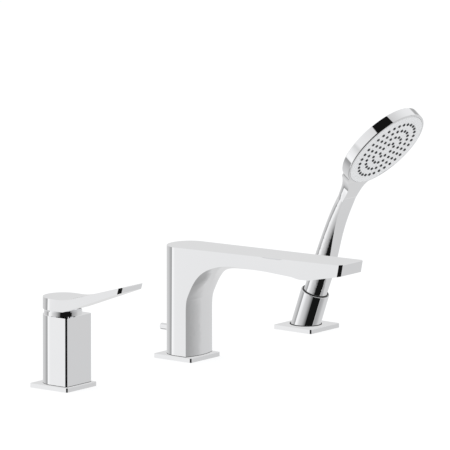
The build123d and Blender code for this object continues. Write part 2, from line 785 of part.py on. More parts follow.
with BuildPart() as spout_body:
    with BuildSketch(upright(spout_x, plate_thickness)):
        with BuildLine():
            Polyline(
                (spout_half_width, spout_round_y),
                (spout_tip_half_width, -spout_reach - overrun),
                (-spout_tip_half_width, -spout_reach - overrun),
                (-spout_half_width, spout_round_y),
            )
            ThreePointArc(
                (-spout_half_width, spout_round_y), (0, spout_back), (spout_half_width, spout_round_y)
            )
        make_face()
    extrude(amount=spout_tip_top)
    with BuildSketch(side_view(spout_x)):
        with BuildLine():
            Polyline(
                (-spout_reach, spout_tip_top),
                (spout_tip_slant * (spout_tip_top - plate_thickness) - spout_reach, plate_thickness),
                (spout_back + overrun, plate_thickness),
                (spout_back + overrun, spout_back_top),
                close=True,
            )
        make_face()
    extrude(amount=spout_half_width + overrun, both=True, mode=Mode.INTERSECT)
    chamfer(spout_body.edges().filter_by(GeomType.LINE).sort_by(Axis.Y)[1:3], spout_tip_chamfer)
    chamfer(spout_body.faces().sort_by(Axis.Z)[-1].edges(), spout_edge_chamfer)
    outer = spout_half_width + overrun
    outer_bulge = column_bulge * (1 - (outer / spout_half_width) ** 2)
    arch_sections = [
        under_arch(-outer, outer_bulge),
        under_arch(0, column_bulge),
        under_arch(outer, outer_bulge),
    ]
    loft(sections=arch_sections, mode=Mode.SUBTRACT)
    with BuildSketch(upright(spout_x, plate_thickness)):
        Circle(shank_radius + thread_play)
    extrude(amount=shank_engagement, mode=Mode.SUBTRACT)
    with BuildSketch(side_view(spout_x)):
        with BuildLine():
            Polyline(
                (riser_y, channel_floor),
                (riser_y, spout_top - channel_roof_wall - spout_slope * riser_y),
                (
                    -outlet_y - channel_overhang,
                    spout_top - channel_roof_wall + spout_slope * (outlet_y + channel_overhang),
                ),
                (-outlet_y - channel_overhang, channel_floor),
                close=True,
            )
        make_face()
    extrude(amount=channel_half_width, both=True, mode=Mode.SUBTRACT)
    with BuildSketch(upright(spout_x, riser_foot)):
        with Locations((0, riser_y)):
            Circle(riser_radius)
    extrude(amount=spout_top - channel_roof_wall - spout_slope * riser_y - riser_foot, mode=Mode.SUBTRACT)
    with BuildSketch(upright(spout_x, diverter_z)):
        with Locations((0, lower_riser_y)):
            Circle(lower_riser_radius)
    extrude(amount=riser_foot - diverter_z + overrun, mode=Mode.SUBTRACT)
    with BuildSketch(half_section(spout_x).offset(-diverter_chamber_half_length)):
        with Locations((0, diverter_z)):
            Circle(diverter_bore_radius)
    extrude(amount=-spout_back, mode=Mode.SUBTRACT)
    with BuildSketch(half_section(spout_x)):
        with Locations((0, diverter_z)):
            Circle(diverter_chamber_radius)
    extrude(amount=diverter_chamber_half_length, both=True, mode=Mode.SUBTRACT)
    with BuildSketch(half_section(spout_x)):
        with Locations((0, diverter_z)):
            Circle(diverter_front_radius)
    extrude(amount=diverter_front_depth, mode=Mode.SUBTRACT)
    with BuildSketch(upright(spout_x, socket_top)):
        with Locations((inlet_port_x, inlet_port_y), (shower_port_x, shower_port_y)):
            Circle(port_thread_radius)
    extrude(amount=diverter_z - diverter_chamber_radius - socket_top, mode=Mode.SUBTRACT)
    with BuildSketch(upright(spout_x, socket_top)):
        with Locations((inlet_port_x, inlet_port_y)):
            Circle(port_bore_radius)
        with Locations((shower_port_x, shower_port_y)):
            Circle(shower_port_bore_radius)
    extrude(amount=diverter_z - socket_top, mode=Mode.SUBTRACT)
    with BuildSketch(upright(spout_x, outlet_underside - overrun)):
        with Locations((0, -outlet_y)):
            Circle(outlet_bore_radius)
    extrude(amount=outlet_seat_z - outlet_underside + overrun, mode=Mode.SUBTRACT)
    with BuildSketch(upright(spout_x, outlet_seat_z)):
        with Locations((0, -outlet_y)):
            Circle(outlet_throat_radius)
    extrude(amount=channel_floor - outlet_seat_z, mode=Mode.SUBTRACT)
finish(spout_body, "spout_body")

# Aerator in the outlet: threaded ring, flow insert and seal
aerator_seal_bottom = outlet_seat_z - aerator_seal_thickness
aerator_inner_radius = aerator_radius - aerator_wall
with BuildPart() as aerator_ring:
    with BuildSketch(upright(spout_x, aerator_bottom)):
        with Locations((0, -outlet_y)):
            Circle(aerator_radius)
            Circle(aerator_inner_radius, mode=Mode.SUBTRACT)
    extrude(amount=aerator_seal_bottom - aerator_bottom)
finish(aerator_ring, "aerator_housing")

insert_bottom = aerator_bottom + aerator_insert_recess
with BuildPart() as aerator_insert:
    with BuildSketch(upright(spout_x, insert_bottom)):
        with Locations((0, -outlet_y)):
            Circle(aerator_inner_radius - thread_play)
            Circle(aerator_hole_radius, mode=Mode.SUBTRACT)
            for step in range(1, aerator_hole_rings + 1):
                with PolarLocations(step * aerator_hole_spacing, 6 * step):
                    Circle(aerator_hole_radius, mode=Mode.SUBTRACT)
    extrude(amount=aerator_seal_bottom - insert_bottom)
finish(aerator_insert, "aerator_insert")

with BuildPart() as aerator_seal:
    with BuildSketch(upright(spout_x, aerator_seal_bottom)):
        with Locations((0, -outlet_y)):
            Circle(aerator_radius)
            Circle(aerator_radius - aerator_seal_width, mode=Mode.SUBTRACT)
    extrude(amount=aerator_seal_thickness)
finish(aerator_seal, "aerator_seal")


def diverter_plane(y):
    """Plane across the diverter's axis, its normal pointing to the back."""
    return Plane(origin=(spout_x, y, diverter_z), x_dir=(-1, 0, 0), z_dir=(0, 1, 0))


# Diverter: sleeve with the seat to the spout, gland, piston on its spindle, spring and pull knob
with BuildPart() as diverter_sleeve:
    with BuildSketch(diverter_plane(diverter_chamber_half_length)):
        Circle(diverter_bore_radius - thread_play)
        Circle(sleeve_seat_radius, mode=Mode.SUBTRACT)
    extrude(amount=sleeve_end - diverter_chamber_half_length)
    with BuildSketch(diverter_plane(sleeve_lip_end)):
        Circle(sleeve_inner_radius)
    extrude(amount=sleeve_end - sleeve_lip_end, mode=Mode.SUBTRACT)
    with BuildSketch(upright(spout_x, diverter_z)):
        with Locations((0, lower_riser_y)):
            Circle(lower_riser_radius)
    extrude(amount=2 * diverter_bore_radius, mode=Mode.SUBTRACT)
finish(diverter_sleeve, "diverter_sleeve")

with BuildPart() as diverter_gland:
    with BuildSketch(diverter_plane(sleeve_end)):
        Circle(diverter_bore_radius - thread_play)
        Circle(gland_bore_radius, mode=Mode.SUBTRACT)
    extrude(amount=gland_end - sleeve_end)
    with BuildSketch(diverter_plane(gland_groove_start)):
        Circle(gland_groove_radius)
    extrude(amount=gland_groove_length, mode=Mode.SUBTRACT)
finish(diverter_gland, "diverter_gland")

spindle_seal = ring(
    diverter_plane(gland_groove_start),
    gland_groove_radius - thread_play,
    gland_bore_radius,
    gland_groove_length,
)
finish(spindle_seal, "diverter_spindle_seal")

piston_start = -diverter_chamber_half_length
piston_end = piston_start + piston_stack
metal_start = piston_start + piston_seal_thickness
metal_end = piston_end - piston_seal_thickness
with BuildPart() as piston_seals:
    with BuildSketch(diverter_plane(piston_start)):
        Circle(piston_radius)
        Circle(spindle_radius + thread_play, mode=Mode.SUBTRACT)
    extrude(amount=piston_seal_thickness)
    with BuildSketch(diverter_plane(metal_end)):
        Circle(piston_radius)
        Circle(spindle_radius + thread_play, mode=Mode.SUBTRACT)
    extrude(amount=piston_seal_thickness)
finish(piston_seals, "diverter_piston_seals")

finish(
    ring(diverter_plane(metal_start), piston_radius, spindle_radius + thread_play, metal_end - metal_start),
    "diverter_piston",
)

with BuildPart() as spindle:
    with BuildSketch(diverter_plane(piston_start)):
        Circle(spindle_radius)
    extrude(amount=knob_socket_end - piston_start)
finish(spindle, "diverter_spindle")

spring = ring(diverter_plane(piston_end), spring_outer_radius, spring_inner_radius, sleeve_end - piston_end)
finish(spring, "diverter_spring")

with BuildPart() as knob:
    with BuildSketch(diverter_plane(knob_start)):
        Circle(knob_radius)
    extrude(amount=knob_end - knob_start)
    fillet(knob.faces().sort_by(Axis.Y)[-1].edges(), knob_edge_radius)
    with BuildSketch(diverter_plane(knob_start)):
        Circle(spindle_radius + thread_play)
    extrude(amount=knob_socket_end - knob_start, mode=Mode.SUBTRACT)
finish(knob, "diverter_knob")


def holder_plane(along):
    """Plane across the holder's leaning axis at a distance up it."""
    return leaning(0, holder_pivot_z, holder_tilt).offset(along)


# Holder: leaning tube with a threaded spigot that drops through the plate into the shank
with BuildPart() as holder:
    with BuildSketch(holder_plane(-holder_root)):
        Circle(holder_radius)
    extrude(amount=holder_mouth + holder_root)
    fillet(holder.faces().sort_by(Axis.Z)[-1].edges(), holder_rim_radius)
    split(bisect_by=upright(shower_x, plate_thickness), keep=Keep.TOP)
    with BuildSketch(upright(shower_x, -spigot_drop)):
        Circle(spigot_radius)
    extrude(amount=spigot_drop + holder_pivot_z)
    with BuildSketch(upright(shower_x, -spigot_drop)):
        Circle(spigot_bore_radius)
    extrude(amount=spigot_drop + spigot_bore_top, mode=Mode.SUBTRACT)
    with BuildSketch(holder_plane(-holder_throat_drop)):
        Circle(holder_seat_radius)
    extrude(amount=holder_throat_drop + holder_seat, mode=Mode.SUBTRACT)
    with BuildSketch(holder_plane(holder_seat)):
        Circle(holder_bore_radius)
    extrude(amount=holder_mouth, mode=Mode.SUBTRACT)
finish(holder, "shower_holder")

liner_foot = holder_seat + turning_gap
handle_foot = liner_foot + liner_lip_thickness
with BuildPart() as liner:
    with BuildSketch(holder_plane(liner_foot)):
        Circle(liner_outer_radius)
        Circle(liner_lip_radius, mode=Mode.SUBTRACT)
    extrude(amount=holder_mouth + liner_rise - liner_foot)
    with BuildSketch(holder_plane(handle_foot)):
        Circle(liner_inner_radius)
    extrude(amount=holder_mouth, mode=Mode.SUBTRACT)
finish(liner, "holder_liner")

# Hand shower shell: round handle with a widening front flat, neck and head in one
face_normal = (0, -math.cos(math.radians(face_tilt)), -math.sin(math.radians(face_tilt)))
face_up = (0, -math.sin(math.radians(face_tilt)), math.cos(math.radians(face_tilt)))
rim_centre = Vector(shower_x, face_y, face_z) - Vector(*face_normal) * face_rise
head_axis = Axis(rim_centre, face_normal)


def face_plane(height=0.0):
    """Plane of the spray face, its normal pointing out and its y up the face, at a height over the rim."""
    return Plane(origin=rim_centre, x_dir=(1, 0, 0), z_dir=face_normal).offset(height)


def face_section():
    """Plane through the head's axis: x across the head, y out of the face."""
    return Plane(origin=rim_centre, x_dir=(1, 0, 0), z_dir=tuple(-part for part in face_up))


def handle_outline(plane, radius, half_chord):
    """Round section with a flat at the front."""
    flat = math.sqrt(radius**2 - half_chord**2)
    with BuildSketch(plane) as outline:
        with BuildLine():
            Line((-half_chord, -flat), (half_chord, -flat))
            ThreePointArc((half_chord, -flat), (0, radius), (-half_chord, -flat))
        make_face()
    return outline.sketch


def neck_outline(plane, width, depth, corner):
    """Flat-fronted section with two rounded back corners, its front on the plane's x axis."""
    half = width / 2
    bend = corner * (1 - math.sqrt(0.5))
    with BuildSketch(plane) as outline:
        with BuildLine():
            Line((-half, 0), (half, 0))
            Line((half, 0), (half, depth - corner))
            ThreePointArc((half, depth - corner), (half - bend, depth - bend), (half - corner, depth))
            Line((half - corner, depth), (corner - half, depth))
            ThreePointArc((corner - half, depth), (bend - half, depth - bend), (-half, depth - corner))
            Line((-half, depth - corner), (-half, 0))
        make_face()
    return outline.sketch


def waterway(end_shares, radius):
    """Straight round bore between two points of the hand shower's middle plane."""
    start, end = (Vector(shower_x, y_share * face_y, z_share * face_z) for y_share, z_share in end_shares)
    with BuildPart() as bore:
        with BuildSketch(Plane(origin=start, x_dir=(1, 0, 0), z_dir=end - start)):
            Circle(radius)
        extrude(amount=(end - start).length)
    return bore.part


handle_sections = [
    handle_outline(holder_plane(handle_foot), handle_radius, handle_end_chord),
    handle_outline(holder_plane(holder_mouth), handle_radius, handle_end_chord),
]
for (y_share, z_share, radius_share, chord_share), lean in zip(handle_station_shares, handle_leans):
    radius = radius_share * handle_radius
    station = leaning(y_share * face_y, z_share * face_z, lean)
    handle_sections.append(handle_outline(station, radius, chord_share * radius))
neck_sections = []
for station_shares, lean in zip(neck_station_shares, neck_leans):
    y_share, z_share, width_share, depth_share, corner_share = station_shares
    depth = depth_share * head_thickness
    station = leaning(y_share * face_y, z_share * face_z, lean)
    neck_sections.append(neck_outline(station, width_share * head_radius, depth, corner_share * depth))
with BuildPart() as handset_shell:
    with BuildSketch(face_plane(-head_thickness)):
        Circle(head_radius)
    extrude(amount=head_thickness)
    fillet(handset_shell.faces().sort_by(head_axis)[0].edges(), head_edge_radius)
    fillet(handset_shell.faces().sort_by(head_axis)[-1].edges(), head_front_radius)
    loft(sections=handle_sections)
    loft(sections=neck_sections)
    with BuildSketch(face_plane(head_back_wall - head_thickness)):
        Circle(head_cavity_radius)
    extrude(amount=head_thickness, mode=Mode.SUBTRACT)
    with BuildSketch(face_plane(-spray_plate_thickness)):
        Circle(spray_plate_radius + running_gap)
    extrude(amount=head_thickness, mode=Mode.SUBTRACT)
    with BuildSketch(holder_plane(handle_foot)):
        Circle(inlet_thread_radius + thread_play)
    extrude(amount=inlet_socket_depth, mode=Mode.SUBTRACT)
    with BuildSketch(holder_plane(handle_foot)):
        Circle(lower_waterway_radius)
    extrude(amount=lower_waterway_length, mode=Mode.SUBTRACT)
    add(waterway(middle_waterway_shares, middle_waterway_radius), mode=Mode.SUBTRACT)
    add(waterway(upper_waterway_shares, upper_waterway_radius), mode=Mode.SUBTRACT)
finish(handset_shell, "hand_shower_shell")

# Threaded inlet for the hose, with a flow filter in it
inlet_foot = handle_foot - inlet_thread_length
inlet = ring(
    holder_plane(inlet_foot), inlet_thread_radius, inlet_bore_radius, inlet_thread_length + inlet_socket_depth
)
finish(inlet, "hose_inlet")

with BuildPart() as inlet_filter:
    with BuildSketch(holder_plane(inlet_foot + inlet_filter_recess)):
        Circle(inlet_bore_radius - thread_play)
        with PolarLocations(inlet_filter_hole_circle_radius, inlet_filter_holes):
            Circle(inlet_filter_hole_radius, mode=Mode.SUBTRACT)
        Circle(inlet_filter_hole_radius, mode=Mode.SUBTRACT)
    extrude(amount=inlet_filter_thickness)
finish(inlet_filter, "inlet_filter")

# Spray face: domed plate, soft nozzle mat behind it and the guide plate in the chamber
dome_radius = (spray_plate_radius**2 + face_dome**2) / (2 * face_dome)


def dome_height(radius):
    """Height of the plate's outer surface over the rim at a distance from the middle."""
    return face_dome - dome_radius + math.sqrt(dome_radius**2 - radius**2)


def domed_disc(radius, outer_drop, thickness):
    """Disc that follows the dome, its outer side a given drop below the plate's."""
    half = radius / 2
    with BuildPart() as disc:
        with BuildSketch(face_section()):
            with BuildLine():
                Line((0, face_dome - outer_drop - thickness), (0, face_dome - outer_drop))
                ThreePointArc(
                    (0, face_dome - outer_drop),
                    (half, dome_height(half) - outer_drop),
                    (radius, dome_height(radius) - outer_drop),
                )
                Line(
                    (radius, dome_height(radius) - outer_drop),
                    (radius, dome_height(radius) - outer_drop - thickness),
                )
                ThreePointArc(
                    (radius, dome_height(radius) - outer_drop - thickness),
                    (half, dome_height(half) - outer_drop - thickness),
                    (0, face_dome - outer_drop - thickness),
                )
            make_face()
        revolve(axis=head_axis)
    return disc.part


def nozzle_ring(step, radius):
    """Sketches the nozzles of one ring; even rings have a nozzle on the face's upright line."""
    count = step * nozzles_per_ring
    start = 90 if step % 2 == 0 else 90 + 180 / count
    with PolarLocations(step * nozzle_ring_spacing, count, start_angle=start):
        Circle(radius)


with BuildPart() as spray_plate:
    add(domed_disc(spray_plate_radius, 0, spray_plate_thickness))
    with BuildSketch(face_plane(-head_thickness)):
        for step in range(1, nozzle_rings + 1):
            nozzle_ring(step, nozzle_radius + turning_gap)
    extrude(amount=2 * head_thickness, mode=Mode.SUBTRACT)
finish(spray_plate, "spray_plate")

with BuildPart() as nozzle_mat:
    add(domed_disc(mat_radius, spray_plate_thickness, mat_thickness))
    for step in range(1, nozzle_rings + 1):
        surface = dome_height(step * nozzle_ring_spacing)
        mat_middle = surface - spray_plate_thickness - mat_thickness / 2
        with BuildSketch(face_plane(mat_middle)):
            nozzle_ring(step, nozzle_radius)
        extrude(amount=surface + nozzle_height - mat_middle)
        with BuildSketch(face_plane(surface + nozzle_height - nozzle_jet_depth)):
            nozzle_ring(step, nozzle_jet_radius)
        extrude(amount=nozzle_jet_depth, mode=Mode.SUBTRACT)
finish(nozzle_mat, "nozzle_mat")

with BuildPart() as water_guide:
    with BuildSketch(face_plane(head_back_wall - head_thickness)):
        Circle(water_guide_radius)
        with PolarLocations(water_guide_hole_circle_radius, water_guide_holes):
            Circle(water_guide_hole_radius, mode=Mode.SUBTRACT)
    extrude(amount=water_guide_thickness)
finish(water_guide, "water_guide")
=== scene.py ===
import json
import math

import bmesh
import bpy
import numpy as np
from mathutils import Matrix, Vector

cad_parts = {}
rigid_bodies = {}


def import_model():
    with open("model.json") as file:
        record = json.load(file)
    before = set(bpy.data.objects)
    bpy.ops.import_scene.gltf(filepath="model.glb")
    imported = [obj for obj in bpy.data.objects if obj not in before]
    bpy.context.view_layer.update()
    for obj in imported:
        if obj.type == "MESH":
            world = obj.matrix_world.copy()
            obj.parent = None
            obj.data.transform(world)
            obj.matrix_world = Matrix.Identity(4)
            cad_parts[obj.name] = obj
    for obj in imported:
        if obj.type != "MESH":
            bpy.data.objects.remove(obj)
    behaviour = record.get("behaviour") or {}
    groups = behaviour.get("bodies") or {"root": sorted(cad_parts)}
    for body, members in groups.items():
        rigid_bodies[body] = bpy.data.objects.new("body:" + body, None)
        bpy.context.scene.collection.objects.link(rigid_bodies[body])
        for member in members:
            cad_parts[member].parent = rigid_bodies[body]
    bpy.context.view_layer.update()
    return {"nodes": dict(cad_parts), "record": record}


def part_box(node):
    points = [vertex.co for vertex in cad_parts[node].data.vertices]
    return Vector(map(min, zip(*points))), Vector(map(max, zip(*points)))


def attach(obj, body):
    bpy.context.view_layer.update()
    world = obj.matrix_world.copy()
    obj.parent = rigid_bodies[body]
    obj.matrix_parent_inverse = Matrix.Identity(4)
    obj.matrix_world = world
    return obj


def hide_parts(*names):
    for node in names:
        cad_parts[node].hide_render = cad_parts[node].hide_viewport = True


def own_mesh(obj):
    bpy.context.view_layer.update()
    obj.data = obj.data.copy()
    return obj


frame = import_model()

print("frame loaded:", len(frame["nodes"]), "nodes")


# Colours and shader nodes
def linearColour(hexText):
    # each sRGB channel is turned to linear: below 0.04045 a straight line, above it a 2.4 power curve
    values = [int(hexText[place:place + 2], 16) / 255 for place in (0, 2, 4)]
    return [value / 12.92 if value <= 0.04045 else ((value + 0.055) / 1.055) ** 2.4 for value in values] + [1.0]


def addNode(tree, kind, settings=None, links=None):
    # one node, its own settings and sockets by name, then its links from other nodes' outputs
    node = tree.nodes.new(kind)
    for name, value in (settings or {}).items():
        if name in node.bl_rna.properties:
            setattr(node, name, value)
        else:
            node.inputs[int(name) if name.isdigit() else name].default_value = value
    for name, source in (links or {}).items():
        tree.links.new(source, node.inputs[int(name) if name.isdigit() else name])
    return node


def setStops(ramp, stops):
    # the first two stops are there already, the rest are added
    elements = ramp.color_ramp.elements
    while len(elements) < len(stops):
        elements.new(1.0)
    for element, (place, colour) in zip(elements, stops):
        element.position = place
        element.color = colour


def newMaterial(name):
    material = bpy.data.materials.new(name)
    material.use_nodes = True
    tree = material.node_tree
    tree.nodes.clear()
    shader = addNode(tree, "ShaderNodeBsdfPrincipled")
    addNode(tree, "ShaderNodeOutputMaterial", links={"Surface": shader.outputs["BSDF"]})
    place = addNode(tree, "ShaderNodeTexCoord").outputs["Object"]
    return material, tree, shader, place


millimetres = 1000  # in a metre
noise = {"cloudDetail": 3.0, "grainDetail": 4.0, "grainLow": 0.3, "grainHigh": 0.7}


def mottled(name, look):
    # two near colours mixed by cloudy noise, roughness moved between two values by finer noise, and a fine bump
    material, tree, shader, place = newMaterial(name)
    cloud = addNode(
        tree, "ShaderNodeTexNoise",
        {"Scale": millimetres / look["cloudSize"], "Detail": noise["cloudDetail"]}, {"Vector": place},
    )
    shades = addNode(
        tree, "ShaderNodeMix",
        {"data_type": "RGBA", "6": linearColour(look["colour"]), "7": linearColour(look["otherColour"])},
        {"Factor": cloud.outputs["Fac"]},
    )
    tree.links.new(shades.outputs[2], shader.inputs["Base Color"])
    grain = addNode(
        tree, "ShaderNodeTexNoise",
        {"Scale": millimetres / look["grainSize"], "Detail": noise["grainDetail"]}, {"Vector": place},
    )
    low, high = look["roughness"]
    rough = addNode(
        tree, "ShaderNodeMapRange",
        {"From Min": noise["grainLow"], "From Max": noise["grainHigh"], "To Min": low, "To Max": high},
        {"Value": grain.outputs["Fac"]},
    )
    tree.links.new(rough.outputs["Result"], shader.inputs["Roughness"])
    bump = addNode(
        tree, "ShaderNodeBump",
        {"Strength": look["bump"], "Distance": look["bumpDepth"] / millimetres}, {"Height": grain.outputs["Fac"]},
    )
    tree.links.new(bump.outputs["Normal"], shader.inputs["Normal"])
    for socket, value in look["shader"].items():
        shader.inputs[socket].default_value = value
    return material


# Finishes, sizes in millimetres

# Nickel and chrome plated over polished brass: a cool mirror, with the faintest orange peel of the polish
chromeLook = {
    "colour": "F9F9FA", "otherColour": "F6F7F9", "cloudSize": 60, "grainSize": 9,
    "roughness": (0.012, 0.035), "bump": 0.02, "bumpDepth": 0.02, "shader": {"Metallic": 1.0},
}
# Satin silver lacquer over moulded ABS: pale, softly metallic, with a fine flake
silverLook = {
    "colour": "ECEDEE", "otherColour": "E7E8EA", "cloudSize": 1.4, "grainSize": 0.5,
    "roughness": (0.28, 0.36), "bump": 0.03, "bumpDepth": 0.02,
    "shader": {"Metallic": 0.2, "Coat Weight": 0.3, "Coat Roughness": 0.12},
}
# Turned and threaded brass, left bare where it is hidden: warm, with a dull skin of oxide
brassLook = {
    "colour": "C9A15A", "otherColour": "B08A48", "cloudSize": 8, "grainSize": 0.7,
    "roughness": (0.26, 0.42), "bump": 0.15, "bumpDepth": 0.05, "shader": {"Metallic": 1.0},
}
# Cold-drawn stainless steel wire and pins: grey, with fine draw marks
steelLook = {
    "colour": "BFC1C2", "otherColour": "AEB0B2", "cloudSize": 4, "grainSize": 0.4,
    "roughness": (0.22, 0.34), "bump": 0.12, "bumpDepth": 0.03, "shader": {"Metallic": 1.0},
}
# Moulded nitrile rubber: near black with a powdery bloom
rubberLook = {
    "colour": "1B1C1D", "otherColour": "26272A", "cloudSize": 5, "grainSize": 0.5,
    "roughness": (0.55, 0.75), "bump": 0.2, "bumpDepth": 0.05, "shader": {"Specular IOR Level": 0.4},
}
# Moulded liquid silicone of the nozzles: dark grey, smooth and slightly waxy
nozzleLook = {
    "colour": "242628", "otherColour": "303336", "cloudSize": 2, "grainSize": 0.4,
    "roughness": (0.42, 0.58), "bump": 0.1, "bumpDepth": 0.03, "shader": {"Specular IOR Level": 0.45},
}
# Injection moulded acetal: milky white with a soft sheen
acetalLook = {
    "colour": "E4E2DA", "otherColour": "DAD8D0", "cloudSize": 9, "grainSize": 0.6,
    "roughness": (0.32, 0.45), "bump": 0.08, "bumpDepth": 0.03,
    "shader": {"Subsurface Weight": 0.08, "Subsurface Scale": 0.002},
}
# Injection moulded black nylon: deep black with a fine moulded grain
nylonLook = {
    "colour": "141516", "otherColour": "1D1E20", "cloudSize": 6, "grainSize": 0.45,
    "roughness": (0.34, 0.5), "bump": 0.15, "bumpDepth": 0.04, "shader": {"Specular IOR Level": 0.5},
}
# Sintered and lapped alumina: off-white, almost polished, with a faint speckle
aluminaLook = {
    "colour": "EFEDE6", "otherColour": "E3E0D7", "cloudSize": 0.6, "grainSize": 0.3,
    "roughness": (0.1, 0.2), "bump": 0.05, "bumpDepth": 0.01, "shader": {"Coat Weight": 0.2},
}
finishes = {
    "polished_chrome": mottled("chromePlatedBrass", chromeLook),
    "silver_face": mottled("silverLacqueredAbs", silverLook),
    "bare_brass": mottled("turnedBrass", brassLook),
    "stainless_steel": mottled("drawnStainlessSteel", steelLook),
    "black_rubber": mottled("mouldedNitrileRubber", rubberLook),
    "nozzle_rubber": mottled("mouldedSilicone", nozzleLook),
    "pale_plastic": mottled("mouldedAcetal", acetalLook),
    "black_plastic": mottled("mouldedNylon", nylonLook),
    "ceramic": mottled("lappedAlumina", aluminaLook),
}
for name, node in frame["nodes"].items():
    for slot in node.material_slots:
        wanted = slot.material.name.split(".")[0]
        if wanted in finishes:
            slot.material = finishes[wanted]
        else:
            print("no finish for", name, wanted)
print("finishes on the CAD nodes")


# Meshes from arrays
def shownMesh(name, vertices, faces):
    mesh = bpy.data.meshes.new(name)
    mesh.from_pydata(vertices.tolist(), [], faces.tolist())
    mesh.update()
    thing = bpy.data.objects.new(name, mesh)
    bpy.context.scene.collection.objects.link(thing)
    return thing


def gridFaces(rows, columns):
    # quads of a grid of rows by columns points, in rows
    index = np.arange(rows * columns).reshape(rows, columns)
    return np.stack([index[:-1, :-1], index[:-1, 1:], index[1:, 1:], index[1:, :-1]], axis=-1).reshape(-1, 4)


# Smooth skins over the curved plated parts

skins = {
    "weld": 0.000002,  # vertices nearer than this are one
    "crease": 24.0,  # degrees, a sharper edge stays an edge
    "faceWeight": 100,  # large faces set the shading, narrow ones follow
    "nodes": {
        "hand_shower_shell": "handShowerSkin",
        "shower_holder": "holderSkin",
        "spout_body": "spoutSkin",
        "lever_handle": "leverSkin",
        "mixer_body": "mixerBodySkin",
        "cartridge_cover_ring": "coverRingSkin",
        "diverter_knob": "diverterKnobSkin",
        "holder_liner": "linerSkin",
        "spray_plate": "sprayFaceSkin",
        "nozzle_mat": "nozzleSkin",
    },
}


def smoothSkin(nodeName, pieceName):
    # the node's own triangles with their doubles merged, shaded smooth but for edges sharper than the crease
    node = frame["nodes"][nodeName]
    shape = bmesh.new()
    shape.from_mesh(node.data)
    bmesh.ops.remove_doubles(shape, verts=shape.verts, dist=skins["weld"])
    for face in shape.faces:
        face.smooth = True
    limit = math.radians(skins["crease"])
    for edge in shape.edges:
        edge.smooth = len(edge.link_faces) == 2 and edge.calc_face_angle() < limit
    mesh = bpy.data.meshes.new(pieceName)
    shape.to_mesh(mesh)
    shape.free()
    for slot in node.material_slots:
        mesh.materials.append(slot.material)
    piece = bpy.data.objects.new(pieceName, mesh)
    bpy.context.scene.collection.objects.link(piece)
    even = piece.modifiers.new("evenShade", "WEIGHTED_NORMAL")
    even.keep_sharp = True
    even.weight = skins["faceWeight"]
    return piece


nodeBody = {node: body for body, members in frame["record"]["behaviour"]["bodies"].items() for node in members}
for nodeName, pieceName in skins["nodes"].items():
    skin = smoothSkin(nodeName, pieceName)
    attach(skin, nodeBody[nodeName])
    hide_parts(nodeName)
print("skins made:", len(skins["nodes"]))


# Thin black rings at the feet and round the spray face, painted shade: dark lines where the bodies stand on the
# plates and round the spray plate's edge

# Black rings of painted shade: a dark line of contact shadow round the foot of each body, standing a little proud
# of it
footShadeRings = {  # millimetres
    "plateTop": 4.5,
    "inside": 0.4,
    "points": 97,  # along each half of an outline
    "mixer": {
        "height": 0.5, "proud": 0.1, "x": -207.5, "half": 21.35, "roundY": 0.0, "frontY": -21.35, "bulge": 0.0,
        "cut": 1.6,
    },
    "spout": {
        "height": 0.5, "proud": 0.1, "x": 0.0, "half": 22.5, "roundY": -1.5, "frontY": -16.0, "bulge": 4.5,
        "cut": 0.0,
    },
    "shower": {"height": 0.7, "proud": 1.2, "x": 204.0, "y": 1.24, "halfX": 15.3, "halfY": 16.23},
}


def columnOutline(unit):
    # half circle at the back, then the front from left to right: a parabola, its ends cut by the corner cut
    turn = np.linspace(0, math.pi, footShadeRings["points"])
    back = np.stack([unit["half"] * np.cos(turn), unit["roundY"] + unit["half"] * np.sin(turn)], axis=-1)
    reach = np.linspace(-unit["half"], unit["half"], footShadeRings["points"])
    bulge = unit["bulge"] * (1 - (reach / unit["half"]) ** 2)
    corner = np.maximum(0, unit["cut"] - (unit["half"] - np.abs(reach)))
    front = np.stack([reach, unit["frontY"] - bulge + corner], axis=-1)
    return np.concatenate([back, front]) + np.array([unit["x"], 0.0])


def holderOutline(unit):
    # ellipse in which the leaning tube meets the plate
    turn = np.linspace(0, 2 * math.pi, 2 * footShadeRings["points"], endpoint=False)
    return np.stack([unit["x"] + unit["halfX"] * np.cos(turn), unit["y"] + unit["halfY"] * np.sin(turn)], axis=-1)


def ringAlong(name, outline, section):
    # a closed section of (outward, up) pairs carried round a closed outline, square to it at each point
    along = np.roll(outline, -1, axis=0) - np.roll(outline, 1, axis=0)
    along = along / np.linalg.norm(along, axis=1, keepdims=True)
    outward = np.stack([along[:, 1], -along[:, 0]], axis=-1)
    flat = outline[:, None, :] + outward[:, None, :] * section[None, :, :1]
    rise = np.broadcast_to(section[None, :, 1:], flat.shape[:2] + (1,))
    points = np.concatenate([flat, rise], axis=-1).reshape(-1, 3) / millimetres
    index = np.arange(len(points)).reshape(len(outline), len(section))
    ahead, beside = np.roll(index, -1, axis=0), np.roll(index, -1, axis=1)
    faces = np.stack([index, ahead, np.roll(ahead, -1, axis=1), beside], axis=-1).reshape(-1, 4)
    return shownMesh(name, points, faces)


def dressed(piece, body, slot):
    piece.data.materials.append(finishes[slot])
    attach(piece, body)


# each ring is given the black rubber finish so that it paints the shade along a body's foot
for unitName, outlineOf in (("mixer", columnOutline), ("spout", columnOutline), ("shower", holderOutline)):
    unit = footShadeRings[unitName]
    shadeRingBottom, shadeRingTop = footShadeRings["plateTop"], footShadeRings["plateTop"] + unit["height"]
    shadeRingSection = np.array([
        (-footShadeRings["inside"], shadeRingBottom),
        (unit["proud"], shadeRingBottom),
        (unit["proud"], shadeRingTop),
        (-footShadeRings["inside"], shadeRingTop),
    ])
    dressed(ringAlong(unitName + "FootShadeRing", outlineOf(unit), shadeRingSection), "fixed", "black_rubber")
